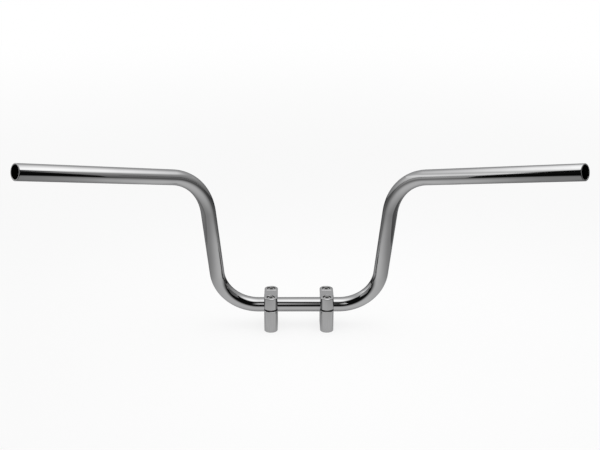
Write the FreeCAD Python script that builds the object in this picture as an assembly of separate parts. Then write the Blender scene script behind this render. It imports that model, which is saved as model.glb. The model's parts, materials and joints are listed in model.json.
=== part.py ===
import FreeCAD, Part
import math
import os

from FreeCAD import Vector

# Motorcycle handlebar: one bent tube held in two riser clamps.
# The origin lies midway between the risers, on the plane that they stand on.
# +Z points up the risers, +X to the rider's right and -Y back towards the rider.
# Sizes are in millimetres and degrees.

# Handlebar tube
tube_diameter = 25.4
tube_wall = 2.0
tube_rim_round = 0.6

# Run of one half of the tube, from the middle outwards
clamp_margin = 9.6          # straight tube left over outside each riser
lower_bend_radius = 72.0
upright_straight = 121.0
upright_flare_deg = 4.9     # outwards from vertical, in front view
upright_lean_deg = 11.8     # back from vertical, in side view
upper_bend_radius = 98.0
grip_straight = 277.0
grip_sweep_deg = 43.5       # back towards the rider, in plan view
grip_rise_deg = 12.2        # above level

# Riser clamps
riser_spacing = 98.0        # from the middle of one riser to the other
bar_height = 40.5           # from the base plane to the bar's axis
split_gap = 3.0             # between body and cap when they grip the bar
cap_crown = 9.5             # metal between the bar and the cap's top
saddle_wall = 3.75          # metal between the bar and each screw hole
counterbore_wall = 4.25     # metal round each counterbore
cap_edge_round = 1.0
base_edge_round = 1.0
split_edge_chamfer = 0.3
saddle_edge_chamfer = 0.5
hole_edge_chamfer = 0.4

# Tapped hole under each riser, for the bolt that comes up through the yoke
mount_thread_radius = 5.1
saddle_floor = 7.0          # metal between the saddle and the tip of the hole

# Socket head cap screws
screw_diameter = 8.0
screw_length = 30.0
screw_tip_chamfer = 1.0
head_diameter = 13.0
head_height = 8.0
head_edge_round = 1.8
head_recess = 0.7           # head's top below the cap's top
socket_across_flats = 6.0
socket_depth = 4.0
tap_runout = 4.0            # tapped hole beyond the screw's tip

# Radial clearances
saddle_clearance = 0.05
shank_clearance = 0.5
thread_clearance = 0.05
head_clearance = 1.0

drill_point_deg = 118.0     # included angle at the bottom of a drilled hole

# Sizes that follow from the ones above
tube_radius = tube_diameter / 2
saddle_radius = tube_radius + saddle_clearance
screw_radius = screw_diameter / 2
shank_hole_radius = screw_radius + shank_clearance
thread_hole_radius = screw_radius + thread_clearance
head_radius = head_diameter / 2
counterbore_radius = head_radius + head_clearance
screw_offset = saddle_radius + saddle_wall + shank_hole_radius
riser_width = 2 * (counterbore_radius + counterbore_wall)
centre_straight = riser_spacing + riser_width + 2 * clamp_margin
body_top = bar_height - split_gap / 2
cap_bottom = bar_height + split_gap / 2
cap_top = bar_height + saddle_radius + cap_crown
head_seat = cap_top - head_recess - head_height
screw_tip = head_seat - screw_length
drill_point_slope = 1 / math.tan(math.radians(drill_point_deg / 2))

UP = Vector(0, 0, 1)
RIGHT = Vector(1, 0, 0)
HEXAGON_SIDES = 6
SAME_PLACE = 1e-6           # coordinates this close are the same


def upright_direction():
    """Way the tube runs up from the lower bend, on the rider's right."""
    flare = math.tan(math.radians(upright_flare_deg))
    lean = math.tan(math.radians(upright_lean_deg))
    return Vector(flare, -lean, 1).normalize()


def grip_direction():
    """Way the tube runs out from the upper bend, on the rider's right."""
    sweep = math.radians(grip_sweep_deg)
    rise = math.radians(grip_rise_deg)
    level = math.cos(rise)
    return Vector(level * math.cos(sweep), -level * math.sin(sweep), math.sin(rise))


def tube_section(centre, direction):
    """Ring-shaped cross-section of the tube."""
    outer = Part.Wire(Part.makeCircle(tube_radius, centre, direction))
    inner = Part.Wire(Part.makeCircle(tube_radius - tube_wall, centre, direction))
    return Part.Face(outer).cut(Part.Face(inner)).Faces[0]


def tube_straight(centre, direction, length):
    """Straight run of tube, and the middle of its far end."""
    travel = direction * length
    return tube_section(centre, direction).extrude(travel), centre + travel


def tube_bend(centre, direction, next_direction, radius):
    """Round bend of the tube from one direction to the next, and the middle of its far end."""
    axis = direction.cross(next_direction).normalize()
    pivot = centre + axis.cross(direction) * radius
    angle = math.degrees(direction.getAngle(next_direction))
    bend = tube_section(centre, direction).revolve(pivot, axis, angle)
    far_end = FreeCAD.Rotation(axis, angle).multVec(centre - pivot) + pivot
    return bend, far_end


def handlebar_tube():
    """Whole tube: the right half, its mirror image, and rounded rims at both open ends."""
    upright = upright_direction()
    grip = grip_direction()
    middle = Vector(0, 0, bar_height)
    centre_run, point = tube_straight(middle, RIGHT, centre_straight / 2)
    lower_bend, point = tube_bend(point, RIGHT, upright, lower_bend_radius)
    upright_run, point = tube_straight(point, upright, upright_straight)
    upper_bend, point = tube_bend(point, upright, grip, upper_bend_radius)
    grip_run, grip_end = tube_straight(point, grip, grip_straight)
    half = centre_run.multiFuse([lower_bend, upright_run, upper_bend, grip_run])
    tube = half.fuse(half.mirror(middle, RIGHT)).removeSplitter().Solids[0]
    rims = [edge for edge in tube.Edges if is_rim(edge, grip_end)]
    return tube.makeFillet(tube_rim_round, rims)


def is_rim(edge, grip_end):
    """True for the round edges at the two open ends, whose middle lies as far out as the grip's end."""
    if not isinstance(edge.Curve, Part.Circle):
        return False
    return math.isclose(abs(edge.Curve.Center.x), grip_end.x, abs_tol=SAME_PLACE)


def obround_prism(bottom, top):
    """Upright block with flat sides and half-round ends, centred on the origin."""
    side = riser_width / 2
    front_right = Vector(side, -screw_offset, bottom)
    back_right = Vector(side, screw_offset, bottom)
    back_left = Vector(-side, screw_offset, bottom)
    front_left = Vector(-side, -screw_offset, bottom)
    back_end = Vector(0, screw_offset + side, bottom)
    front_end = Vector(0, -screw_offset - side, bottom)
    outline = Part.Wire([
        Part.makeLine(front_right, back_right),
        Part.Arc(back_right, back_end, back_left).toShape(),
        Part.makeLine(back_left, front_left),
        Part.Arc(front_left, front_end, front_right).toShape(),
    ])
    return Part.Face(outline).extrude(UP * (top - bottom))


def edges_at(shape, height):
    """Edges of a block that lie wholly in one level plane."""
    return [
        edge for edge in shape.Edges
        if math.isclose(edge.BoundBox.ZMin, height, abs_tol=SAME_PLACE)
        and math.isclose(edge.BoundBox.ZMax, height, abs_tol=SAME_PLACE)
    ]


def saddle_cutter():
    """Round bar that cuts the saddle, flared where it leaves each side of the riser."""
    side = riser_width / 2
    start = Vector(-side, 0, bar_height)
    bore = Part.makeCylinder(saddle_radius, riser_width, start, RIGHT)
    mouths = [
        flared_mouth(saddle_radius, saddle_edge_chamfer, Vector(way * side, 0, bar_height), RIGHT * -way)
        for way in (-1, 1)
    ]
    return bore.multiFuse(mouths)


def drilled_hole(radius, mouth, direction, depth):
    """Blind hole with a pointed bottom; the depth is that of its round wall."""
    wall = Part.makeCylinder(radius, depth, mouth, direction)
    point = Part.makeCone(radius, 0, radius * drill_point_slope, mouth + direction * depth, direction)
    return wall.fuse(point)


def flared_mouth(radius, chamfer, mouth, direction):
    """Chamfer at the mouth of a round hole."""
    return Part.makeCone(radius + chamfer, radius, chamfer, mouth, direction)


def screw_places():
    """Fore-and-aft places of the two screws in a riser, on the rider's side of the bar and beyond it."""
    return (-screw_offset, screw_offset)


def riser_body():
    """Lower half of a riser, with the saddle, two tapped holes and the mounting hole."""
    block = obround_prism(0, body_top)
    block = block.makeFillet(base_edge_round, edges_at(block, 0))
    block = block.makeChamfer(split_edge_chamfer, edges_at(block, body_top))
    cutters = [saddle_cutter()]
    for place in screw_places():
        mouth = Vector(0, place, body_top)
        thread_depth = body_top - screw_tip + tap_runout
        cutters.append(drilled_hole(thread_hole_radius, mouth, -UP, thread_depth))
        cutters.append(flared_mouth(thread_hole_radius, hole_edge_chamfer, mouth, -UP))
    mount_mouth = Vector(0, 0, 0)
    mount_tip = bar_height - saddle_radius - saddle_floor
    mount_depth = mount_tip - mount_thread_radius * drill_point_slope
    cutters.append(drilled_hole(mount_thread_radius, mount_mouth, UP, mount_depth))
    cutters.append(flared_mouth(mount_thread_radius, hole_edge_chamfer, mount_mouth, UP))
    return block.cut(cutters).Solids[0]


def riser_cap():
    """Upper half of a riser, with the saddle and two counterbored screw holes."""
    block = obround_prism(cap_bottom, cap_top)
    block = block.makeFillet(cap_edge_round, edges_at(block, cap_top))
    block = block.makeChamfer(split_edge_chamfer, edges_at(block, cap_bottom))
    cutters = [saddle_cutter()]
    for place in screw_places():
        top = Vector(0, place, cap_top)
        cutters.append(Part.makeCylinder(shank_hole_radius, cap_top - cap_bottom, top, -UP))
        cutters.append(Part.makeCylinder(counterbore_radius, cap_top - head_seat, top, -UP))
        cutters.append(flared_mouth(counterbore_radius, hole_edge_chamfer, top, -UP))
    return block.cut(cutters).Solids[0]


def cap_screw(place):
    """Socket head cap screw, with a rounded head and a chamfered tip."""
    seat = Vector(0, place, head_seat)
    head = Part.makeCylinder(head_radius, head_height, seat, UP)
    head = head.makeFillet(head_edge_round, edges_at(head, head_seat + head_height))
    shank = Part.makeCylinder(screw_radius, screw_length, Vector(0, place, screw_tip), UP)
    shank = shank.makeChamfer(screw_tip_chamfer, edges_at(shank, screw_tip))
    screw = head.fuse(shank).removeSplitter()
    return screw.cut(hex_socket(seat + UP * head_height)).Solids[0]


def hex_socket(top):
    """Six-sided recess with a shallow pointed floor, cut down into a screw's head."""
    flat_radius = socket_across_flats / 2
    first_corner = RIGHT * (flat_radius / math.cos(math.pi / HEXAGON_SIDES))
    turns = [FreeCAD.Rotation(UP, 360 / HEXAGON_SIDES * side) for side in range(HEXAGON_SIDES)]
    corners = [top + turn.multVec(first_corner) for turn in turns]
    outline = Part.makePolygon(corners + corners[:1])
    recess = Part.Face(outline).extrude(UP * -socket_depth)
    floor = top - UP * socket_depth
    point = Part.makeCone(flat_radius, 0, flat_radius * drill_point_slope, floor, -UP)
    return recess.fuse(point)


def build():
    """Every node of the handlebar, by name."""
    body = riser_body()
    cap = riser_cap()
    screws = Part.makeCompound([cap_screw(place) for place in screw_places()])
    left = RIGHT * (-riser_spacing / 2)
    right = RIGHT * (riser_spacing / 2)
    return {
        "handlebar_tube": handlebar_tube(),
        "left_riser_body": body.translated(left),
        "right_riser_body": body.translated(right),
        "left_riser_cap": cap.translated(left),
        "right_riser_cap": cap.translated(right),
        "cap_screws": Part.makeCompound([screws.translated(left), screws.translated(right)]),
    }


os.makedirs("parts", exist_ok=True)
for node, shape in build().items():
    shape.exportStep(f"parts/{node}.step")
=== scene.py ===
"""Looks of a chromed motorcycle handlebar: bent tube, split risers, cap screws and a plain studio."""
import json
import math
from collections import namedtuple

import bmesh
import bpy
from bpy.props import FloatProperty, FloatVectorProperty, IntProperty, PointerProperty
from mathutils import Matrix, Vector


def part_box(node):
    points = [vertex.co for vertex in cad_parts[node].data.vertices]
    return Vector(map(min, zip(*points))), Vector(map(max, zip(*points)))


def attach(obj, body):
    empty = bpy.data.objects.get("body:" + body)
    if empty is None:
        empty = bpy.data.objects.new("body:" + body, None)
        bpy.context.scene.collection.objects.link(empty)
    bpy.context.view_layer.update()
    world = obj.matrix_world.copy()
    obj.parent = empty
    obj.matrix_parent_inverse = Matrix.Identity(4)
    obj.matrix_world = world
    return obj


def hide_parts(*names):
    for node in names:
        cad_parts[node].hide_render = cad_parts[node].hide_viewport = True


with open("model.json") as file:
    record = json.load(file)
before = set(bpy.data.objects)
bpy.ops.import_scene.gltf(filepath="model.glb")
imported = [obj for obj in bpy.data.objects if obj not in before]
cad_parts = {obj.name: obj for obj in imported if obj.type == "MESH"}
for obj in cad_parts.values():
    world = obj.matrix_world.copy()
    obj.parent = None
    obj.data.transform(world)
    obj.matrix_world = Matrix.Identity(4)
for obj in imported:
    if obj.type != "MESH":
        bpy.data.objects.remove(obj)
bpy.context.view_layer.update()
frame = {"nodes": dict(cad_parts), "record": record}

bl_info = {
    "name": "Chromed handlebar",
    "version": (1, 0, 0),
    "blender": (4, 5, 0),
    "location": "3D View > Sidebar > Handlebar",
    "description": "Dresses a bent-tube handlebar in chrome and sets up its studio",
    "category": "Object",
}

BODY = "root"
TUBE_NODE = "handlebar_tube"
SCREW_NODE = "cap_screws"
CAP_NODE = "right_riser_cap"
RISER_NODES = ("left_riser_body", "right_riser_body", "left_riser_cap", "right_riser_cap")
MOUNTS = {mount["name"]: mount for mount in frame["record"]["mounts"]}
METRES_PER_MM = 0.001
TUBE_MAP = "along_tube"
RISER_CHROME = "riser chrome"
HEXAGON_SIDES = 6
SHARP_ANGLE = math.radians(35)
PHOTO_WIDTH_PX = 600
SURROUND_SPAN = 1.0
CLOUD_RANGE = (0.38, 0.68)
GRAIN_RANGE = (0.3, 0.7)
GRAIN_SHARE = 0.15
MARKS_RANGE = (0.35, 0.65)

Ring = namedtuple("Ring", "place way normal radius along in_bore")


def mount_size(mount, size):
    """One of a mount's sizes, in metres."""
    return MOUNTS[mount]["dims"][size] * METRES_PER_MM


def metres(name, description, default):
    """Length that a user may change."""
    return FloatProperty(
        name=name, description=description, default=default, precision=5, subtype="DISTANCE", unit="LENGTH"
    )


def degrees(name, description, default):
    """Angle that a user may change."""
    return FloatProperty(
        name=name, description=description, default=math.radians(default), subtype="ANGLE", unit="ROTATION"
    )


def share(name, description, default):
    """Share from nothing to all that a user may change."""
    return FloatProperty(name=name, description=description, default=default, min=0, max=1, subtype="FACTOR")


def number(name, description, default):
    """Plain number that a user may change. As a brightness, 1 shows as white."""
    return FloatProperty(name=name, description=description, default=default, min=0)


def count(name, description, default, least):
    """Whole number that a user may change."""
    return IntProperty(name=name, description=description, default=default, min=least)


def tint(name, description, default):
    """Colour that a user may change."""
    return FloatVectorProperty(
        name=name, description=description, default=default, size=3, min=0, max=1, subtype="COLOR"
    )


class TubeSettings(bpy.types.PropertyGroup):
    """Sizes of the bent tube."""

    tube_radius: metres("Tube radius", "Outside of the tube", mount_size("right_grip", "r_mm"))
    bore_radius: metres("Bore radius", "Inside of the tube", mount_size("right_bar_end", "r_mm"))
    rim_round: metres("Rim round", "Rounding of the edges at the open ends", 0.0006)
    lower_bend_radius: metres("Lower bend", "Radius of the bends beside the risers", 0.072)
    upper_bend_radius: metres("Upper bend", "Radius of the bends into the grips", 0.098)
    upright_flare: degrees("Flare", "Lean of the uprights outwards, in front view", 4.9)
    upright_lean: degrees("Lean", "Lean of the uprights back, in side view", 11.8)
    segments: count("Segments", "Faces round the tube", 96, 12)
    bend_step: degrees("Bend step", "Turn from one ring of a bend to the next", 1.5)
    rim_steps: count("Rim steps", "Faces across each rounded rim", 5, 1)


class ScrewSettings(bpy.types.PropertyGroup):
    """Sizes of the socket head cap screws."""

    spacing: metres("Riser spacing", "Between the two risers", mount_size("riser_bolts", "spacing_x_mm"))
    head_radius: metres("Head radius", "Outside of the head", 0.0065)
    head_height: metres("Head height", "From the seat to the top of the head", 0.008)
    head_round: metres("Head round", "Rounding of the head's top edge", 0.0018)
    knurl_depth: metres("Knurl depth", "Depth of the grooves round the head", 0.00022)
    knurl_count: count("Knurl count", "Grooves round the head", 48, 8)
    shank_radius: metres("Shank radius", "Outside of the shank", 0.004)
    tip_chamfer: metres("Tip chamfer", "Chamfer at the end of the shank", 0.001)
    socket_flats: metres("Socket", "Across the flats of the socket", 0.006)
    socket_depth: metres("Socket depth", "From the head's top to the socket's floor", 0.004)
    socket_chamfer: metres("Socket chamfer", "Chamfer at the socket's mouth", 0.00035)
    socket_point: metres("Socket point", "Depth of the drilled point in the socket's floor", 0.0018)


class PadSettings(bpy.types.PropertyGroup):
    """Sizes of the raised pads round the screws' recesses."""

    mouth_radius: metres("Mouth radius", "Inside of a pad, at the mouth of the screw's recess", 0.00745)
    half_side: metres("Half side", "From a pad's middle to its sides", 0.0105)
    squareness: number("Squareness", "2 makes a pad's inner half round and more makes it square", 7.0)
    height: metres("Height", "Top of a pad above the cap", 0.00065)
    outer_round: metres("Outer round", "Rounding from a pad's top down to the cap", 0.0018)
    inner_chamfer: metres("Inner chamfer", "Chamfer of a pad's inner edge", 0.0004)
    sink: metres("Sink", "How far a pad reaches down into the cap", 0.00015)
    segments: count("Segments", "Faces round a pad", 96, 24)
    round_steps: count("Round steps", "Faces across the outer rounding", 8, 2)


class FinishSettings(bpy.types.PropertyGroup):
    """Colours of the metals."""

    chrome: tint("Chrome", "Clean plating", (0.372, 0.372, 0.374))
    chrome_haze: tint("Chrome haze", "Plating where the polish is a little dull", (0.348, 0.348, 0.351))
    chrome_edge: tint("Chrome edge", "Tint of the plating at a glancing angle", (0.66, 0.66, 0.67))
    riser: tint("Riser chrome", "Plating on the machined risers", (0.42, 0.42, 0.422))
    riser_haze: tint("Riser haze", "Riser plating along its polishing marks", (0.385, 0.385, 0.388))
    riser_edge: tint("Riser edge", "Tint of the riser plating at a glancing angle", (0.83, 0.83, 0.84))
    zinc: tint("Zinc", "Bright zinc on the screws", (0.43, 0.43, 0.427))
    zinc_dull: tint("Dull zinc", "Zinc in the turning marks", (0.35, 0.35, 0.347))
    # The next two colours are painted shade: near-black metal put down in the screws' sockets where shade
    # falls, a little lighter in random patches.
    socket: tint("Socket", "Blackened steel down in the sockets", (0.016, 0.016, 0.016))
    worn_socket_shade: tint("Worn socket", "Sockets where a key has rubbed", (0.045, 0.045, 0.044))
    bore: tint("Bore", "Bare steel inside the tube", (0.035, 0.034, 0.033))
    bore_oxide: tint("Bore oxide", "Darker film inside the tube", (0.012, 0.011, 0.0105))


class StudioSettings(bpy.types.PropertyGroup):
    """Camera, floor, lights and cards."""

    camera_distance: metres("Camera distance", "From the camera to where it looks", 1.6965)
    camera_pitch: degrees("Camera pitch", "How far down the camera looks", 18.088)
    camera_yaw: degrees("Camera yaw", "How far the camera stands to the right", -0.569)
    camera_roll: degrees("Camera roll", "How far the camera tips over", 0.172)
    aim_right: metres("Aim right", "Where the camera looks, right of the middle", 0.00168)
    aim_height: metres("Aim height", "Where the camera looks, above the floor", 0.18813)
    focal_px: number("Focal length", "In pixels of the photograph", 984.2)
    floor_size: metres("Floor size", "Length of each side of the floor", 60.0)
    floor_colour: tint("Floor", "Pale floor", (0.88, 0.88, 0.88))
    floor_white: share("Floor white", "Lift of the floor near the bar towards white", 0.8)
    floor_near: metres("Floor near", "Distance where the floor starts to whiten", 0.5)
    floor_far: metres("Floor far", "Distance where the floor is wholly white", 4.0)
    sky_fill: number("Sky fill", "Light that the white surroundings give", 0.75)
    softbox_height: metres("Softbox height", "Overhead light above the floor", 0.76)
    softbox_right: metres("Softbox right", "Middle of the overhead light, to the right", 0.133)
    softbox_core: metres("Softbox core", "From the light's middle to where it starts to fade", 0.0)
    softbox_reach: metres("Softbox reach", "From the light's middle to its sides", 0.756)
    softbox_front: metres("Softbox front", "Front edge of the overhead light", -0.447)
    softbox_fade: metres("Softbox fade", "Where the light starts to fade to its back", -0.2)
    softbox_back: metres("Softbox back", "Back edge of the overhead light", 0.64)
    softbox_curve: share("Softbox curve", "How far its front edge runs back to its sides", 0.207)
    softbox_soft: metres("Softbox edge", "Half the width of the fade at its front edge", 0.025)
    softbox_level: number("Softbox level", "Brightness of the overhead light", 1.78)
    canopy_height: metres("Canopy height", "Ceiling above the floor", 1.08)
    canopy_front: metres("Canopy front", "Front edge of the pale ceiling at its middle", -0.366)
    canopy_core: metres("Canopy core", "From the middle to where its front edge bends", 0.875)
    canopy_slant: share("Canopy slant", "How far its front edge runs forward from there", 0.106)
    canopy_soft: metres("Canopy edge", "Half the width of the fade at its front edge", 0.05)
    canopy_level: number("Canopy level", "Brightness of the pale ceiling", 0.834)
    front_level: number("Front level", "Brightness of the dark room on the camera's side", 0.009)
    wall_left: number("Wall left", "Brightness of the wall's top on the left", 1.85)
    wall_right: number("Wall right", "Brightness of the wall's top on the right", 0.61)
    wall_start: metres("Wall start", "From the middle to where the ceiling turns into wall", 0.6)
    wall_back: metres("Wall back", "How far back the wall's two sides are one", 1.8)
    cove_radius: metres("Cove radius", "From the middle to the wall of the surround", 2.2)
    cove_front: metres("Cove front", "Front edge of the surround's floor at its middle", -0.249)
    slant_left: share("Slant left", "How far its front edge runs forward to the left", 0.187)
    slant_right: share("Slant right", "How far its front edge runs forward to the right", 0.246)
    cove_soft: metres("Cove edge", "Half the width of the fade at its front edge", 0.05)
    cove_left: number("Cove left", "Brightness of the surround's floor on the left", 0.524)
    cove_right: number("Cove right", "Brightness of the surround's floor on the right", 0.293)
    pool_middle: metres("Pool middle", "Radius of the brightest part of the pool of light", 0.11)
    pool_core: metres("Pool core", "Radius where the pool of light round it turns grey", 0.36)
    pool_radius: metres("Pool radius", "Radius where the pool of light ends", 0.56)
    pool_bright: number("Pool bright", "Brightness of the pool of light at its middle", 1.07)
    pool_grey: number("Pool grey", "Brightness of the pool of light round its core", 0.51)
    shade_back: metres("Shade back", "Middle of the shade under the bar, to the back", 0.05)
    shade_core: metres("Shade core", "Radius of the shade's darkest part", 0.035)
    shade_radius: metres("Shade radius", "Radius where the shade ends", 0.105)
    shade_width: number("Shade width", "Width of the shade for each part of its depth", 2.0)
    shade_depth: share("Shade depth", "Light that the shade takes away at its middle", 0.5)
    glance: share("Glance", "How steeply the surround is seen where it starts to darken", 0.55)
    side_reach: metres("Side reach", "From the middle to the card at each side", 0.25)
    side_left_front: metres("Side left front", "Front edge of the left side card", -0.285)
    side_right_front: metres("Side right front", "Front edge of the right side card", -0.33)
    side_back: metres("Side back", "Back edges of the side cards", 0.0)
    side_foot: metres("Side foot", "Lower edges of the side cards", 0.1)
    side_top: metres("Side top", "Upper edges of the side cards", 0.29)
    side_left_low: number("Side left low", "Brightness of the left side card at its foot", 0.28)
    side_left_high: number("Side left high", "Brightness of the left side card at its top", 0.8)
    side_right_low: number("Side right low", "Brightness of the right side card at its foot", 0.14)
    side_right_high: number("Side right high", "Brightness of the right side card at its top", 0.33)
    strip_left: number("Strip left", "Brightness of the front strip at its left", 1.37)
    strip_right: number("Strip right", "Brightness of the front strip at its right", 0.03)


def turns_round(segments):
    """Angles of the points round a ring."""
    return [2 * math.pi * index / segments for index in range(segments)]


def quarter_turn(steps):
    """Angles from nought to a right angle, in equal steps."""
    return [math.pi / 2 * step / steps for step in range(steps + 1)]


def rounded_route(points, radii, step):
    """Places along straight runs joined by round bends, each with the way that the route runs there."""
    runs = [(end - start).normalized() for start, end in zip(points, points[1:])]
    stations = [(points[0], runs[0])]
    for corner, radius, arriving, leaving in zip(points[1:-1], radii, runs, runs[1:]):
        axis = arriving.cross(leaving).normalized()
        turn = arriving.angle(leaving)
        start = corner - arriving * radius * math.tan(turn / 2)
        pivot = start + axis.cross(arriving) * radius
        steps = math.ceil(turn / step)
        for index in range(steps + 1):
            spin = Matrix.Rotation(turn * index / steps, 3, axis)
            stations.append((pivot + spin @ (start - pivot), spin @ arriving))
    stations.append((points[-1], runs[-1]))
    return stations


def tube_corners(tube):
    """Corners of the tube's centre line from left to right, from the grips' axes and the uprights' lean."""
    grip = MOUNTS["right_grip"]
    grip_middle = Vector(grip["pos_m"])
    grip_way = Vector(grip["axis"]).normalized()
    upright = Vector((math.tan(tube.upright_flare), -math.tan(tube.upright_lean), 1)).normalized()
    bar_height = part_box(TUBE_NODE)[0].z + tube.tube_radius
    meeting = Matrix(((grip_way.y, -upright.y), (grip_way.z, -upright.z)))
    along_grip, along_upright = meeting.inverted() @ Vector((-grip_middle.y, bar_height - grip_middle.z))
    upper = grip_middle + grip_way * along_grip
    lower = upper - upright * along_upright
    end = grip_middle + grip_way * (mount_size("right_grip", "length_mm") / 2 + tube.rim_round)
    right_half = [lower, upper, end]
    left_half = [Vector((-point.x, point.y, point.z)) for point in reversed(right_half)]
    return left_half + right_half


def rim_profile(tube):
    """Radius and setback from the end plane, round an open end from the outside to the inside."""
    rounding = tube.rim_round
    angles = quarter_turn(tube.rim_steps)
    outside = [
        (tube.tube_radius - rounding * (1 - math.cos(angle)), rounding * (1 - math.sin(angle)))
        for angle in angles
    ]
    inside = [
        (tube.bore_radius + rounding * (1 - math.sin(angle)), rounding * (1 - math.cos(angle)))
        for angle in angles
    ]
    # A ring just behind the rounding, on each side, keeps the straight run's shading straight.
    behind = 2 * rounding
    return [(tube.tube_radius, behind), *outside, *inside, (tube.bore_radius, behind)]


def carried_normals(stations):
    """Direction across the route at each station, turned no more than the bends turn it."""
    _, first_way = stations[0]
    normal = first_way.orthogonal().normalized()
    normals = [normal]
    for (_, way), (_, next_way) in zip(stations, stations[1:]):
        normal = way.rotation_difference(next_way) @ normal
        normals.append(normal)
    return normals


def rim_rings(end, profile):
    """Rings of an open end, each set back along the tube from the end's own ring."""
    return [
        end._replace(place=end.place + end.way * setback, radius=radius, along=end.along + setback)
        for radius, setback in profile
    ]


def tube_rings(tube):
    """Rings of the tube's skin, along its outside from left to right and back along its bore."""
    bends = (tube.upper_bend_radius, tube.lower_bend_radius, tube.lower_bend_radius, tube.upper_bend_radius)
    stations = rounded_route(tube_corners(tube), bends, tube.bend_step)
    distances = [0.0]
    for (place, _), (next_place, _) in zip(stations, stations[1:]):
        distances.append(distances[-1] + (next_place - place).length)
    left, *outside, right = [
        Ring(place, way, normal, tube.tube_radius, along, False)
        for (place, way), normal, along in zip(stations, carried_normals(stations), distances)
    ]
    profile = rim_profile(tube)
    left_rim = rim_rings(left, reversed(profile))
    right_rim = rim_rings(right, [(radius, -setback) for radius, setback in profile])
    bore = [ring._replace(radius=tube.bore_radius, in_bore=True) for ring in reversed(outside)]
    return left_rim + outside + right_rim + bore


def ring_points(ring, segments):
    """Points round one ring of the tube."""
    across = ring.way.cross(ring.normal)
    return [
        ring.place + (ring.normal * math.cos(turn) + across * math.sin(turn)) * ring.radius
        for turn in turns_round(segments)
    ]


def linked_object(name, mesh, *materials):
    """New object in the scene that shows a mesh in its materials."""
    for material in materials:
        mesh.materials.append(material)
    piece = bpy.data.objects.new(name, mesh)
    bpy.context.scene.collection.objects.link(piece)
    return piece


def mesh_from(name, work):
    """Mesh made from finished bmesh work, shaded smooth."""
    bmesh.ops.recalc_face_normals(work, faces=work.faces)
    mesh = bpy.data.meshes.new(name)
    work.to_mesh(mesh)
    work.free()
    mesh.shade_smooth()
    return mesh


def tube_mesh(tube):
    """Hollow tube as one closed skin, with the bore in its second material and a map that runs along it."""
    rings = tube_rings(tube)
    work = bmesh.new()
    uv_layer = work.loops.layers.uv.new(TUBE_MAP)
    loops = [[work.verts.new(point) for point in ring_points(ring, tube.segments)] for ring in rings]
    girth = 2 * math.pi * tube.tube_radius
    for index in range(len(rings)):
        following = (index + 1) % len(rings)
        for segment in range(tube.segments):
            beside = (segment + 1) % tube.segments
            corners = (
                (index, segment, segment), (index, beside, segment + 1),
                (following, beside, segment + 1), (following, segment, segment),
            )
            face = work.faces.new([loops[ring][spot] for ring, spot, _ in corners])
            face.material_index = int(rings[index].in_bore or rings[following].in_bore)
            for loop, (ring, _, turn) in zip(face.loops, corners):
                loop[uv_layer].uv = (girth * turn / tube.segments, rings[ring].along)
    return mesh_from("handlebar_tube", work)


def stacked_loops(work, rings, turns, place):
    """Loops of points from rings that have a height and, for each turn, a radius."""
    loops = []
    for height, radii in rings:
        loop = []
        for turn, radius in zip(turns, radii):
            right, back = radius * math.cos(turn), radius * math.sin(turn)
            loop.append(work.verts.new((place.x + right, place.y + back, place.z + height)))
        loops.append(loop)
    return loops


def joining_faces(work, loop, following):
    """Faces from one loop of points to the next."""
    return [
        work.faces.new((loop[spot - 1], loop[spot], following[spot], following[spot - 1]))
        for spot in range(len(loop))
    ]


def hexagon_reach(turn, half_flats):
    """Distance from a hexagon's middle to its side, with a corner at angle nought."""
    sixth = 2 * math.pi / HEXAGON_SIDES
    return half_flats / math.cos(turn % sixth - sixth / 2)


def screw_rings(screw, turns):
    """Rings of a screw from its tip up over the head and down the socket, and the socket's first ring."""
    waves = [math.cos(screw.knurl_count * turn) for turn in turns]
    knurl = [screw.head_radius - screw.knurl_depth * (1 - wave) / 2 for wave in waves]

    def round_ring(height, radius):
        return height, [radius for _ in turns]

    def hexagon_ring(height):
        return height, [hexagon_reach(turn, half_flats) for turn in turns]

    low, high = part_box(SCREW_NODE)
    tip, top = low.z, high.z
    seat = top - screw.head_height
    half_flats = screw.socket_flats / 2
    mouth = half_flats + screw.socket_chamfer
    floor = top - screw.socket_depth
    rounding = screw.head_round
    plain_band = 2 * rounding
    round_steps = 5
    point_radius = half_flats * 0.02
    rings = [
        round_ring(tip, screw.shank_radius - screw.tip_chamfer),
        round_ring(tip + screw.tip_chamfer, screw.shank_radius),
        round_ring(seat, screw.shank_radius),
        round_ring(seat, screw.head_radius - screw.knurl_depth),
        (seat + screw.knurl_depth, knurl),
        (top - plain_band, knurl),
    ]
    for angle in quarter_turn(round_steps):
        height = top - rounding * (1 - math.sin(angle))
        rings.append(round_ring(height, screw.head_radius - rounding * (1 - math.cos(angle))))
    rings.append(round_ring(top, mouth / math.cos(math.pi / HEXAGON_SIDES)))
    socket_start = len(rings)
    rings += [
        hexagon_ring(top - screw.socket_chamfer),
        hexagon_ring(floor),
        round_ring(floor, half_flats),
        round_ring(floor - screw.socket_point, point_radius),
    ]
    return rings, socket_start


def add_screw(work, screw, place):
    """One cap screw, as a stack of rings closed at its tip and at the bottom of its socket."""
    faces_per_groove = 4
    turns = turns_round(screw.knurl_count * faces_per_groove)
    rings, socket_start = screw_rings(screw, turns)
    loops = stacked_loops(work, rings, turns, place)
    # Faces from the socket's first ring down, and the socket's floor, take the second material: painted shade
    # in the socket.
    for index, (loop, above) in enumerate(zip(loops, loops[1:])):
        for face in joining_faces(work, loop, above):
            face.material_index = int(index >= socket_start)
    work.faces.new(list(reversed(loops[0])))
    bottom = work.faces.new(loops[-1])
    bottom.material_index = 1


def screw_places(screw):
    """Middles of the four screws, seen from above."""
    low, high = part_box(SCREW_NODE)
    offset = (high.y - low.y) / 2 - screw.head_radius
    return [Vector((x * screw.spacing / 2, y * offset, 0)) for x in (-1, 1) for y in (-1, 1)]


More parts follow.
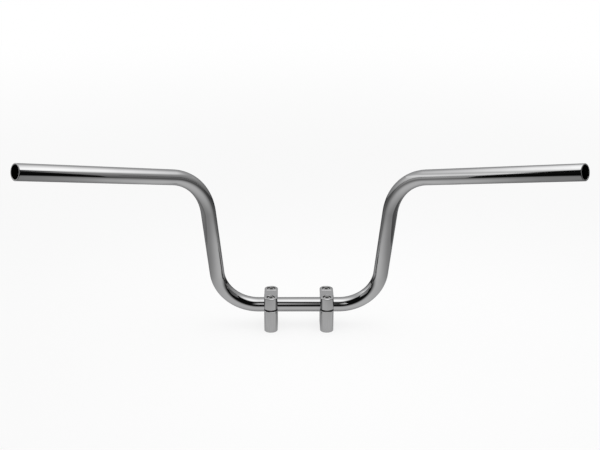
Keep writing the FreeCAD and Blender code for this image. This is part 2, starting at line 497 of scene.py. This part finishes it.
def pad_reach(turn, inward, squareness):
    """Distance from a pad's middle to its edge for a half side of one, square inwards and round outwards."""
    circle = 2
    power = squareness if math.sin(turn) * inward > 0 else circle
    return (abs(math.cos(turn)) ** power + abs(math.sin(turn)) ** power) ** (-1 / power)


def pad_rings(pad, inward, turns):
    """Rings of a pad from its inner foot over its top to its outer foot, by height above the cap."""
    outer = pad.outer_round
    fall = math.acos(1 - pad.height / outer)
    shoulder = pad.half_side - outer * math.sin(fall)

    def round_ring(height, radius):
        return height, [radius for _ in turns]

    def squared_ring(height, half_side):
        return height, [half_side * pad_reach(turn, inward, pad.squareness) for turn in turns]

    rings = [
        round_ring(-pad.sink, pad.mouth_radius),
        round_ring(pad.height - pad.inner_chamfer, pad.mouth_radius),
        round_ring(pad.height, pad.mouth_radius + pad.inner_chamfer),
    ]
    for step in range(pad.round_steps + 1):
        angle = fall * step / pad.round_steps
        height = pad.height - outer * (1 - math.cos(angle))
        rings.append(squared_ring(height, shoulder + outer * math.sin(angle)))
    rings.append(squared_ring(-pad.sink, pad.half_side))
    return rings


def add_pad(work, pad, place):
    """One raised pad, as a closed ring that stands on its cap."""
    turns = turns_round(pad.segments)
    loops = stacked_loops(work, pad_rings(pad, -place.y, turns), turns, place)
    for loop, following in zip(loops, loops[1:] + loops[:1]):
        joining_faces(work, loop, following)


def new_group(name, inputs, outputs):
    """Empty shader node group with named inputs and number outputs, and its two ends."""
    group = bpy.data.node_groups.new(name, "ShaderNodeTree")
    for socket_name, default in inputs.items():
        kind = "NodeSocketVector" if isinstance(default, tuple) else "NodeSocketFloat"
        socket = group.interface.new_socket(socket_name, in_out="INPUT", socket_type=kind)
        socket.default_value = default
    for socket_name in outputs:
        group.interface.new_socket(socket_name, in_out="OUTPUT", socket_type="NodeSocketFloat")
    return group, group.nodes.new("NodeGroupInput").outputs, group.nodes.new("NodeGroupOutput").inputs


def add_node(tree, kind, **settings):
    """New node with some of its settings given."""
    node = tree.nodes.new(kind)
    for setting, value in settings.items():
        setattr(node, setting, value)
    return node


def fill_sockets(tree, sockets, values):
    """Give sockets, by their places or their names, plain values or other nodes' outputs."""
    pairs = values.items() if isinstance(values, dict) else enumerate(values)
    for key, value in pairs:
        if isinstance(value, bpy.types.NodeSocket):
            tree.links.new(value, sockets[key])
        else:
            sockets[key].default_value = value


def math_node(tree, operation, *values):
    """Sum, product or other result of some values."""
    node = add_node(tree, "ShaderNodeMath", operation=operation)
    fill_sockets(tree, node.inputs, values)
    return node.outputs["Value"]


def spread_node(tree, value, low, high, new_low=0.0, new_high=1.0, smooth=False):
    """Value spread from one range to another and held inside it."""
    node = add_node(tree, "ShaderNodeMapRange", clamp=True)
    node.interpolation_type = "SMOOTHSTEP" if smooth else "LINEAR"
    fill_sockets(tree, node.inputs, (value, low, high, new_low, new_high))
    return node.outputs["Result"]


def blend_levels(tree, factor, first, second):
    """Number that runs from one to another by a mask."""
    node = add_node(tree, "ShaderNodeMix", data_type="FLOAT")
    fill_sockets(tree, node.inputs, {"Factor": factor, "A": first, "B": second})
    return node.outputs["Result"]


def blend_colours(tree, factor, first, second):
    """Colour that runs from one to another by a mask."""
    node = add_node(tree, "ShaderNodeMix", data_type="RGBA")
    # The colour sockets share their names with the number sockets, so they are taken by their places.
    fill_sockets(tree, node.inputs, {"Factor": factor, 6: (*first, 1), 7: (*second, 1)})
    return node.outputs[2]


def polish_group(name):
    """Cloudy haze and fine grain that polished plating shows close up."""
    inputs = {"Place": (0.0, 0.0, 0.0), "Cloud scale": 30.0, "Grain scale": 900.0}
    group, given, results = new_group(name, inputs, ("Haze", "Grain", "Height"))
    cloud = add_node(group, "ShaderNodeTexNoise")
    grain = add_node(group, "ShaderNodeTexNoise")
    for texture, scale, detail in ((cloud, "Cloud scale", 4.0), (grain, "Grain scale", 2.0)):
        values = {"Vector": given["Place"], "Scale": given[scale], "Detail": detail}
        fill_sockets(group, texture.inputs, values)
    haze = spread_node(group, cloud.outputs["Fac"], *CLOUD_RANGE)
    speckle = spread_node(group, grain.outputs["Fac"], *GRAIN_RANGE)
    height = math_node(group, "MULTIPLY_ADD", grain.outputs["Fac"], GRAIN_SHARE, cloud.outputs["Fac"])
    fill_sockets(group, results, (haze, speckle, height))
    return group


def marks_group(name):
    """Fine straight marks left by drawing, brushing or turning, long one way and narrow the other."""
    inputs = {"Place": (0.0, 0.0, 0.0), "Marks per metre": (800.0, 8.0, 8.0)}
    group, given, results = new_group(name, inputs, ("Marks", "Height"))
    stretch = add_node(group, "ShaderNodeVectorMath", operation="MULTIPLY")
    texture = add_node(group, "ShaderNodeTexNoise")
    fill_sockets(group, stretch.inputs, (given["Place"], given["Marks per metre"]))
    fill_sockets(group, texture.inputs, {"Vector": stretch.outputs["Vector"], "Scale": 1.0, "Detail": 3.0})
    marks = spread_node(group, texture.outputs["Fac"], *MARKS_RANGE)
    fill_sockets(group, results, (marks, texture.outputs["Fac"]))
    return group


def place_group(tree, name, build, place, values):
    """Outputs of a group, built where it is new, that reads one set of coordinates and has its own values."""
    group = bpy.data.node_groups.get(name) or build(name)
    node = add_node(tree, "ShaderNodeGroup", node_tree=group)
    fill_sockets(tree, node.inputs, (place, *values))
    return node.outputs


def object_place(tree):
    """Place on the surface, in the frame's own metres."""
    return add_node(tree, "ShaderNodeTexCoord").outputs["Object"]


def tube_place(tree):
    """Place on the tube, as metres round it and metres along it."""
    return add_node(tree, "ShaderNodeUVMap", uv_map=TUBE_MAP).outputs["UV"]


def new_metal(name, cloud_scale, grain_scale):
    """Material of bare metal, with its node tree, its shader and its polish."""
    material = bpy.data.materials.new(name)
    material.use_nodes = True
    tree = material.node_tree
    shader = next(node for node in tree.nodes if node.type == "BSDF_PRINCIPLED")
    shader.inputs["Metallic"].default_value = 1.0
    polish = place_group(tree, "Polish haze", polish_group, object_place(tree), (cloud_scale, grain_scale))
    return material, tree, shader, polish


def tool_marks(tree, place, *marks_per_metre):
    """Tool marks of a metal, by how many it has in a metre each way."""
    return place_group(tree, "Tool marks", marks_group, place, (marks_per_metre,))


def paint_metal(tree, shader, mask, colours, dullness, roughness):
    """Spread a metal's colour by a mask and its roughness by its dullness."""
    rough = spread_node(tree, dullness, 0.0, 1.0, *roughness)
    fill_sockets(tree, shader.inputs, {"Base Color": blend_colours(tree, mask, *colours), "Roughness": rough})


def add_bump(tree, shader, height, strength, distance):
    """Fine relief on a shader's normal."""
    bump = add_node(tree, "ShaderNodeBump")
    fill_sockets(tree, bump.inputs, {"Strength": strength, "Distance": distance, "Height": height})
    tree.links.new(bump.outputs["Normal"], shader.inputs["Normal"])


def tube_chrome(finish):
    """Bright chrome on the tube, with faint lines along it where it was polished."""
    material, tree, shader, polish = new_metal("tube chrome", cloud_scale=22.0, grain_scale=700.0)
    marks = tool_marks(tree, tube_place(tree), 900.0, 5.0, 1.0)
    dullness = math_node(tree, "MULTIPLY", polish["Haze"], marks["Marks"])
    colours = (finish.chrome, finish.chrome_haze)
    paint_metal(tree, shader, polish["Haze"], colours, dullness, roughness=(0.035, 0.085))
    shader.inputs["Specular Tint"].default_value = (*finish.chrome_edge, 1)
    add_bump(tree, shader, polish["Height"], strength=0.02, distance=0.0004)
    return material


def riser_chrome(finish):
    """Chrome on the machined risers, a little softer than on the tube."""
    material, tree, shader, polish = new_metal(RISER_CHROME, cloud_scale=60.0, grain_scale=1500.0)
    marks = tool_marks(tree, object_place(tree), 1600.0, 1600.0, 40.0)
    dullness = math_node(tree, "MULTIPLY", polish["Haze"], marks["Marks"])
    colours = (finish.riser, finish.riser_haze)
    paint_metal(tree, shader, marks["Marks"], colours, dullness, roughness=(0.07, 0.14))
    shader.inputs["Specular Tint"].default_value = (*finish.riser_edge, 1)
    add_bump(tree, shader, marks["Height"], strength=0.02, distance=0.0001)
    return material


def screw_zinc(finish):
    """Bright zinc on the screws, with fine turning marks."""
    material, tree, shader, polish = new_metal("screw zinc", cloud_scale=180.0, grain_scale=3000.0)
    marks = tool_marks(tree, object_place(tree), 2600.0, 300.0, 900.0)
    colours = (finish.zinc, finish.zinc_dull)
    paint_metal(tree, shader, marks["Marks"], colours, polish["Grain"], roughness=(0.1, 0.2))
    add_bump(tree, shader, marks["Height"], strength=0.06, distance=0.0001)
    return material


def painted_socket_shade(finish):
    """Near-black metal down in the screws' sockets as painted shade, a little lighter in random patches."""
    material, tree, shader, polish = new_metal("socket steel", cloud_scale=400.0, grain_scale=3000.0)
    colours = (finish.socket, finish.worn_socket_shade)
    paint_metal(tree, shader, polish["Haze"], colours, polish["Grain"], roughness=(0.35, 0.55))
    return material


def bore_steel(finish):
    """Dark bare steel inside the tube, with long marks from drawing."""
    material, tree, shader, polish = new_metal("bore steel", cloud_scale=90.0, grain_scale=1200.0)
    marks = tool_marks(tree, tube_place(tree), 500.0, 6.0, 1.0)
    colours = (finish.bore, finish.bore_oxide)
    paint_metal(tree, shader, polish["Haze"], colours, marks["Marks"], roughness=(0.5, 0.75))
    add_bump(tree, shader, marks["Height"], strength=0.2, distance=0.0002)
    return material


def seen_directly(tree):
    """One for rays from the camera, off metal or through glass, and nought for the rest."""
    path = add_node(tree, "ShaderNodeLightPath")
    seen = math_node(tree, "ADD", path.outputs["Is Camera Ray"], path.outputs["Is Glossy Ray"])
    return math_node(tree, "MINIMUM", math_node(tree, "ADD", seen, path.outputs["Is Transmission Ray"]), 1.0)


def white_surroundings(studio):
    """White world, a little dimmer as a light than as a background."""
    world = bpy.data.worlds.new("white surroundings")
    world.use_nodes = True
    tree = world.node_tree
    background = next(node for node in tree.nodes if node.type == "BACKGROUND")
    background.inputs["Color"].default_value = (1, 1, 1, 1)
    strength = spread_node(tree, seen_directly(tree), 0.0, 1.0, studio.sky_fill, 1.0)
    tree.links.new(strength, background.inputs["Strength"])
    bpy.context.scene.world = world


def cleared_material(name):
    """Material without nodes, and its node tree."""
    material = bpy.data.materials.new(name)
    material.use_nodes = True
    material.node_tree.nodes.clear()
    return material, material.node_tree


def show(tree, shader):
    """Let a material show a shader."""
    output = add_node(tree, "ShaderNodeOutputMaterial")
    tree.links.new(shader, output.inputs["Surface"])


def join_shaders(tree, kind, *sources):
    """Shader made from others by a node of a given kind."""
    node = add_node(tree, kind)
    fill_sockets(tree, node.inputs, sources)
    return node.outputs["Shader"]


def clear_shader(tree):
    """Shader that lets all light through."""
    return add_node(tree, "ShaderNodeBsdfTransparent").outputs["BSDF"]


def glow(tree, level):
    """Shader that gives white light of some brightness."""
    node = add_node(tree, "ShaderNodeEmission")
    fill_sockets(tree, node.inputs, {"Strength": level})
    return node.outputs["Emission"]


def floor_paint(studio):
    """Pale matt floor, lifted towards white where it is seen, that still takes the shadow near the bar."""
    material, tree = cleared_material("pale floor")
    matt = add_node(tree, "ShaderNodeBsdfDiffuse")
    matt.inputs["Color"].default_value = (*studio.floor_colour, 1)
    reach = add_node(tree, "ShaderNodeVectorMath", operation="LENGTH")
    tree.links.new(object_place(tree), reach.inputs[0])
    near, far = studio.floor_near, studio.floor_far
    lift = spread_node(tree, reach.outputs["Value"], near, far, studio.floor_white, 1.0, smooth=True)
    white = math_node(tree, "MULTIPLY", seen_directly(tree), lift)
    show(tree, join_shaders(tree, "ShaderNodeMixShader", white, matt.outputs["BSDF"], glow(tree, 1.0)))
    return material


def card_material(name):
    """Material for a card, its node tree and how far right, back and up a place on the card is."""
    material, tree = cleared_material(name)
    split = add_node(tree, "ShaderNodeSeparateXYZ")
    tree.links.new(object_place(tree), split.inputs["Vector"])
    return material, tree, *split.outputs


def front_mask(tree, along, forward, front, softness):
    """One in front of an edge and nought behind it, where the edge runs forward by a given way."""
    place = math_node(tree, "ADD", along, forward)
    return spread_node(tree, place, front + softness, front - softness, smooth=True)


def forward_run(tree, aside, core, slant):
    """How far an edge has run forward at a distance aside, from where its straight core ends."""
    beyond = math_node(tree, "MAXIMUM", math_node(tree, "SUBTRACT", aside, core), 0.0)
    return math_node(tree, "MULTIPLY", beyond, slant)


def distance_aside(tree, right, middle):
    """How far a place lies to the left or right of a middle."""
    return math_node(tree, "ABSOLUTE", math_node(tree, "SUBTRACT", right, middle))


def distance_from(tree, right, back, middle):
    """How far a place on the floor lies from a point that is some way back in the middle plane."""
    place = add_node(tree, "ShaderNodeCombineXYZ")
    fill_sockets(tree, place.inputs, (right, back))
    node = add_node(tree, "ShaderNodeVectorMath", operation="DISTANCE")
    fill_sockets(tree, node.inputs, (place.outputs["Vector"], (0, middle, 0)))
    return node.outputs["Value"]


def left_to_right(tree, right, left_level, right_level):
    """Brightness of the surround, from its left side to its right."""
    return spread_node(tree, right, -SURROUND_SPAN, SURROUND_SPAN, left_level, right_level)


def softbox_cloth(studio):
    """Overhead light that ends sharply at its front and fades to nothing at its sides and its back."""
    material, tree, right, back, _ = card_material("softbox cloth")
    aside = distance_aside(tree, right, studio.softbox_right)
    across = spread_node(tree, aside, studio.softbox_core, studio.softbox_reach, 1.0, 0.0, smooth=True)
    backward = spread_node(tree, back, studio.softbox_fade, studio.softbox_back, 1.0, 0.0, smooth=True)
    forward = forward_run(tree, aside, studio.softbox_core, -studio.softbox_curve)
    front = front_mask(tree, back, forward, studio.softbox_front, studio.softbox_soft)
    lit = math_node(tree, "MULTIPLY", across, backward)
    level = math_node(tree, "MULTIPLY", lit, blend_levels(tree, front, studio.softbox_level, 0.0))
    show(tree, join_shaders(tree, "ShaderNodeAddShader", clear_shader(tree), glow(tree, level)))
    return material


def canopy_cloth(studio):
    """Ceiling that takes on the walls' brightness at its sides, dark on the camera's side."""
    material, tree, right, back, _ = card_material("canopy cloth")
    aside = distance_aside(tree, right, 0.0)
    outward = spread_node(tree, aside, studio.wall_start, studio.cove_radius, smooth=True)
    walls = left_to_right(tree, right, studio.wall_left, studio.wall_right)
    pale = blend_levels(tree, outward, studio.canopy_level, walls)
    forward = forward_run(tree, aside, studio.canopy_core, studio.canopy_slant)
    front = front_mask(tree, back, forward, studio.canopy_front, studio.canopy_soft)
    show(tree, glow(tree, blend_levels(tree, front, pale, studio.front_level)))
    return material


def cove_cloth(studio):
    """Grey surround, paler up its wall and in a pool of light round the bar's shade, dark at its front."""
    material, tree, right, back, up = card_material("cove cloth")
    reach = distance_from(tree, right, back, 0.0)
    bright = spread_node(
        tree, reach, studio.pool_middle, studio.pool_core, studio.pool_bright, studio.pool_grey, smooth=True
    )
    inside = spread_node(tree, reach, studio.pool_core, studio.pool_radius, 1.0, 0.0, smooth=True)
    pool = math_node(tree, "MULTIPLY", bright, inside)
    floor = left_to_right(tree, right, studio.cove_left, studio.cove_right)
    backward = spread_node(tree, back, 0.0, studio.wall_back, smooth=True)
    walls = left_to_right(tree, right, studio.wall_left, studio.wall_right)
    rise = spread_node(tree, up, 0.0, studio.canopy_height)
    grey = blend_levels(tree, rise, floor, blend_levels(tree, backward, walls, studio.canopy_level))
    to_left = math_node(tree, "MULTIPLY", right, -studio.slant_left)
    to_right = math_node(tree, "MULTIPLY", right, studio.slant_right)
    forward = math_node(tree, "MAXIMUM", to_left, to_right)
    front = front_mask(tree, back, forward, studio.cove_front, studio.cove_soft)
    surround = blend_levels(tree, front, grey, studio.front_level)
    narrowed = math_node(tree, "DIVIDE", right, studio.shade_width)
    from_shade = distance_from(tree, narrowed, back, studio.shade_back)
    shade = spread_node(
        tree, from_shade, studio.shade_core, studio.shade_radius, 1.0 - studio.shade_depth, 1.0, smooth=True
    )
    lit = math_node(tree, "MULTIPLY", math_node(tree, "MAXIMUM", surround, pool), shade)
    facing = add_node(tree, "ShaderNodeLayerWeight").outputs["Facing"]
    steep = spread_node(tree, facing, 1.0 - studio.glance, 1.0, 1.0, 0.0, smooth=True)
    show(tree, glow(tree, math_node(tree, "MULTIPLY", lit, steep)))
    return material


def strip_cloth(studio, start, end):
    """Strip of light on the camera's side, which fades from its left to its right."""
    material, tree, right, _, _ = card_material("strip cloth")
    show(tree, glow(tree, spread_node(tree, right, start, end, studio.strip_left, studio.strip_right)))
    return material


def side_cloth(name, studio, low, high):
    """Cloth beside the bar, paler towards its top, that is clear from its outer side."""
    material, tree, _, _, up = card_material(name)
    level = spread_node(tree, up, studio.side_foot, studio.side_top, low, high)
    behind = add_node(tree, "ShaderNodeNewGeometry").outputs["Backfacing"]
    show(tree, join_shaders(tree, "ShaderNodeMixShader", behind, glow(tree, level), clear_shader(tree)))
    return material


def side_card(name, studio, way, front, low, high):
    """Upright card beside the bar that faces the middle."""
    right, foot, top = way * studio.side_reach, studio.side_foot, studio.side_top
    first, last = (studio.side_back, front) if way > 0 else (front, studio.side_back)
    corners = ((right, first, foot), (right, last, foot), (right, last, top), (right, first, top))
    reflection_only(flat_card(name, corners, side_cloth(name, studio, low, high)))


def flat_card(name, corners, material):
    """Four-cornered card of the stage."""
    work = bmesh.new()
    work.faces.new([work.verts.new(corner) for corner in corners])
    mesh = bpy.data.meshes.new(name)
    work.to_mesh(mesh)
    work.free()
    card = linked_object(name, mesh, material)
    return card


def reflection_only(card):
    """Card that shows in polished metal and casts no light or shadow on anything else."""
    card.visible_camera = False
    card.visible_diffuse = False
    card.visible_transmission = False
    card.visible_volume_scatter = False
    card.visible_shadow = False


def level_card(name, left, right, front, back, height, material):
    """Level card of the stage."""
    corners = ((left, front, height), (right, front, height), (right, back, height), (left, back, height))
    return flat_card(name, corners, material)


def cove_mesh(studio):
    """Round cloth that lies on the floor and curves up into a wall."""
    segments, curve_steps, curve_share, lift = 96, 8, 0.25, 0.0005
    turns = turns_round(segments)
    curve = studio.cove_radius * curve_share
    profile = [(lift, studio.pool_radius)]
    for angle in quarter_turn(curve_steps):
        radius = studio.cove_radius - curve * (1 - math.sin(angle))
        profile.append((lift + curve * (1 - math.cos(angle)), radius))
    profile.append((studio.canopy_height, studio.cove_radius))
    work = bmesh.new()
    rings = [(height, [radius for _ in turns]) for height, radius in profile]
    loops = stacked_loops(work, rings, turns, Vector((0, 0, 0)))
    work.faces.new(loops[0])
    for loop, above in zip(loops, loops[1:]):
        joining_faces(work, loop, above)
    return mesh_from("surround", work)


def aim_camera(studio):
    """Camera at the photograph's place, looking the way that it looks."""
    data = bpy.data.cameras.new("camera")
    data.sensor_fit = "HORIZONTAL"
    data.lens = studio.focal_px / PHOTO_WIDTH_PX * data.sensor_width
    pitch, yaw = studio.camera_pitch, studio.camera_yaw
    back = Vector((math.sin(yaw) * math.cos(pitch), -math.cos(yaw) * math.cos(pitch), math.sin(pitch)))
    right = Vector((0, 0, 1)).cross(back).normalized()
    up = back.cross(right)
    axes = Matrix((right, up, back)).transposed() @ Matrix.Rotation(studio.camera_roll, 3, "Z")
    camera = bpy.data.objects.new("camera", data)
    aim = Vector((studio.aim_right, 0, studio.aim_height))
    camera.matrix_world = Matrix.Translation(aim + back * studio.camera_distance) @ axes.to_4x4()
    bpy.context.scene.collection.objects.link(camera)
    bpy.context.scene.camera = camera


class HANDLEBAR_OT_tube(bpy.types.Operator):
    """Make the bent tube as a fine hollow mesh in chrome"""

    bl_idname = "handlebar.tube"
    bl_label = "Bent tube"

    def execute(self, context):
        finish = context.scene.handlebar_finish
        mesh = tube_mesh(context.scene.handlebar_tube)
        tube = linked_object("bent_tube", mesh, tube_chrome(finish), bore_steel(finish))
        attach(tube, BODY)
        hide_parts(TUBE_NODE)
        return {"FINISHED"}


class HANDLEBAR_OT_risers(bpy.types.Operator):
    """Give the riser bodies and caps their chrome"""

    bl_idname = "handlebar.risers"
    bl_label = "Risers"

    def execute(self, context):
        chrome = riser_chrome(context.scene.handlebar_finish)
        for node in RISER_NODES:
            for slot in frame["nodes"][node].material_slots:
                slot.material = chrome
        return {"FINISHED"}


class HANDLEBAR_OT_pads(bpy.types.Operator):
    """Make the raised pads round the screws' recesses, in the risers' chrome"""

    bl_idname = "handlebar.pads"
    bl_label = "Screw pads"

    def execute(self, context):
        scene = context.scene
        work = bmesh.new()
        cap_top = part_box(CAP_NODE)[1].z
        for place in screw_places(scene.handlebar_screw):
            add_pad(work, scene.handlebar_pad, Vector((place.x, place.y, cap_top)))
        mesh = mesh_from("screw_pads", work)
        mesh.set_sharp_from_angle(angle=SHARP_ANGLE)
        pads = linked_object("screw_pads", mesh, bpy.data.materials[RISER_CHROME])
        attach(pads, BODY)
        return {"FINISHED"}


class HANDLEBAR_OT_screws(bpy.types.Operator):
    """Make the four knurled cap screws"""

    bl_idname = "handlebar.screws"
    bl_label = "Cap screws"

    def execute(self, context):
        finish = context.scene.handlebar_finish
        screw = context.scene.handlebar_screw
        work = bmesh.new()
        for place in screw_places(screw):
            add_screw(work, screw, place)
        mesh = mesh_from("knurled_cap_screws", work)
        mesh.set_sharp_from_angle(angle=SHARP_ANGLE)
        # The screws' second material is painted shade down in their sockets.
        screws = linked_object("knurled_cap_screws", mesh, screw_zinc(finish), painted_socket_shade(finish))
        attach(screws, BODY)
        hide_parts(SCREW_NODE)
        return {"FINISHED"}


class HANDLEBAR_OT_stage(bpy.types.Operator):
    """Set up the floor, the lights, the cards and the camera"""

    bl_idname = "handlebar.stage"
    bl_label = "Studio"

    def execute(self, context):
        studio = context.scene.handlebar_studio
        context.scene.view_settings.view_transform = "Standard"
        white_surroundings(studio)
        half = studio.floor_size / 2
        level_card("floor", -half, half, -half, half, 0.0, floor_paint(studio))
        left = studio.softbox_right - studio.softbox_reach
        right = studio.softbox_right + studio.softbox_reach
        unlit_margin = 0.2
        softbox = level_card(
            "softbox", left, right, studio.softbox_front - unlit_margin, studio.softbox_back,
            studio.softbox_height, softbox_cloth(studio),
        )
        softbox.visible_camera = False
        reach, height = studio.cove_radius, studio.canopy_height
        reflection_only(level_card("canopy", -reach, reach, -reach, reach, height, canopy_cloth(studio)))
        surround = linked_object("surround", cove_mesh(studio), cove_cloth(studio))
        reflection_only(surround)
        left, right, low, high, front = -0.18, 0.14, 0.4, 1.04, -1.2
        corners = ((left, front, low), (right, front, low), (right, front, high), (left, front, high))
        reflection_only(flat_card("front_strip", corners, strip_cloth(studio, left, right)))
        side_card(
            "left_side", studio, -1, studio.side_left_front, studio.side_left_low, studio.side_left_high
        )
        side_card(
            "right_side", studio, 1, studio.side_right_front, studio.side_right_low, studio.side_right_high
        )
        aim_camera(studio)
        return {"FINISHED"}


class HANDLEBAR_PT_workshop(bpy.types.Panel):
    """Steps that dress the handlebar, with the sizes and colours that they use"""

    bl_idname = "HANDLEBAR_PT_workshop"
    bl_label = "Handlebar"
    bl_space_type = "VIEW_3D"
    bl_region_type = "UI"
    bl_category = "Handlebar"

    def draw(self, context):
        for operator in OPERATORS:
            self.layout.operator(operator.bl_idname)
        for name in SETTINGS:
            box = self.layout.box()
            settings = getattr(context.scene, name)
            for size in settings.__annotations__:
                box.prop(settings, size)


SETTINGS = {
    "handlebar_tube": TubeSettings,
    "handlebar_screw": ScrewSettings,
    "handlebar_pad": PadSettings,
    "handlebar_finish": FinishSettings,
    "handlebar_studio": StudioSettings,
}
OPERATORS = (
    HANDLEBAR_OT_tube, HANDLEBAR_OT_risers, HANDLEBAR_OT_pads, HANDLEBAR_OT_screws, HANDLEBAR_OT_stage,
)
CLASSES = (*SETTINGS.values(), *OPERATORS, HANDLEBAR_PT_workshop)


def register():
    """Add the classes and the scene's settings."""
    for kind in CLASSES:
        bpy.utils.register_class(kind)
    for name, kind in SETTINGS.items():
        setattr(bpy.types.Scene, name, PointerProperty(type=kind))


def unregister():
    """Take the classes and the scene's settings away again."""
    for name in SETTINGS:
        delattr(bpy.types.Scene, name)
    for kind in reversed(CLASSES):
        bpy.utils.unregister_class(kind)


def main():
    """Dress the frame and set up the studio."""
    register()
    bpy.ops.handlebar.tube()
    bpy.ops.handlebar.risers()
    bpy.ops.handlebar.pads()
    bpy.ops.handlebar.screws()
    bpy.ops.handlebar.stage()


if __name__ == "__main__":
    main()
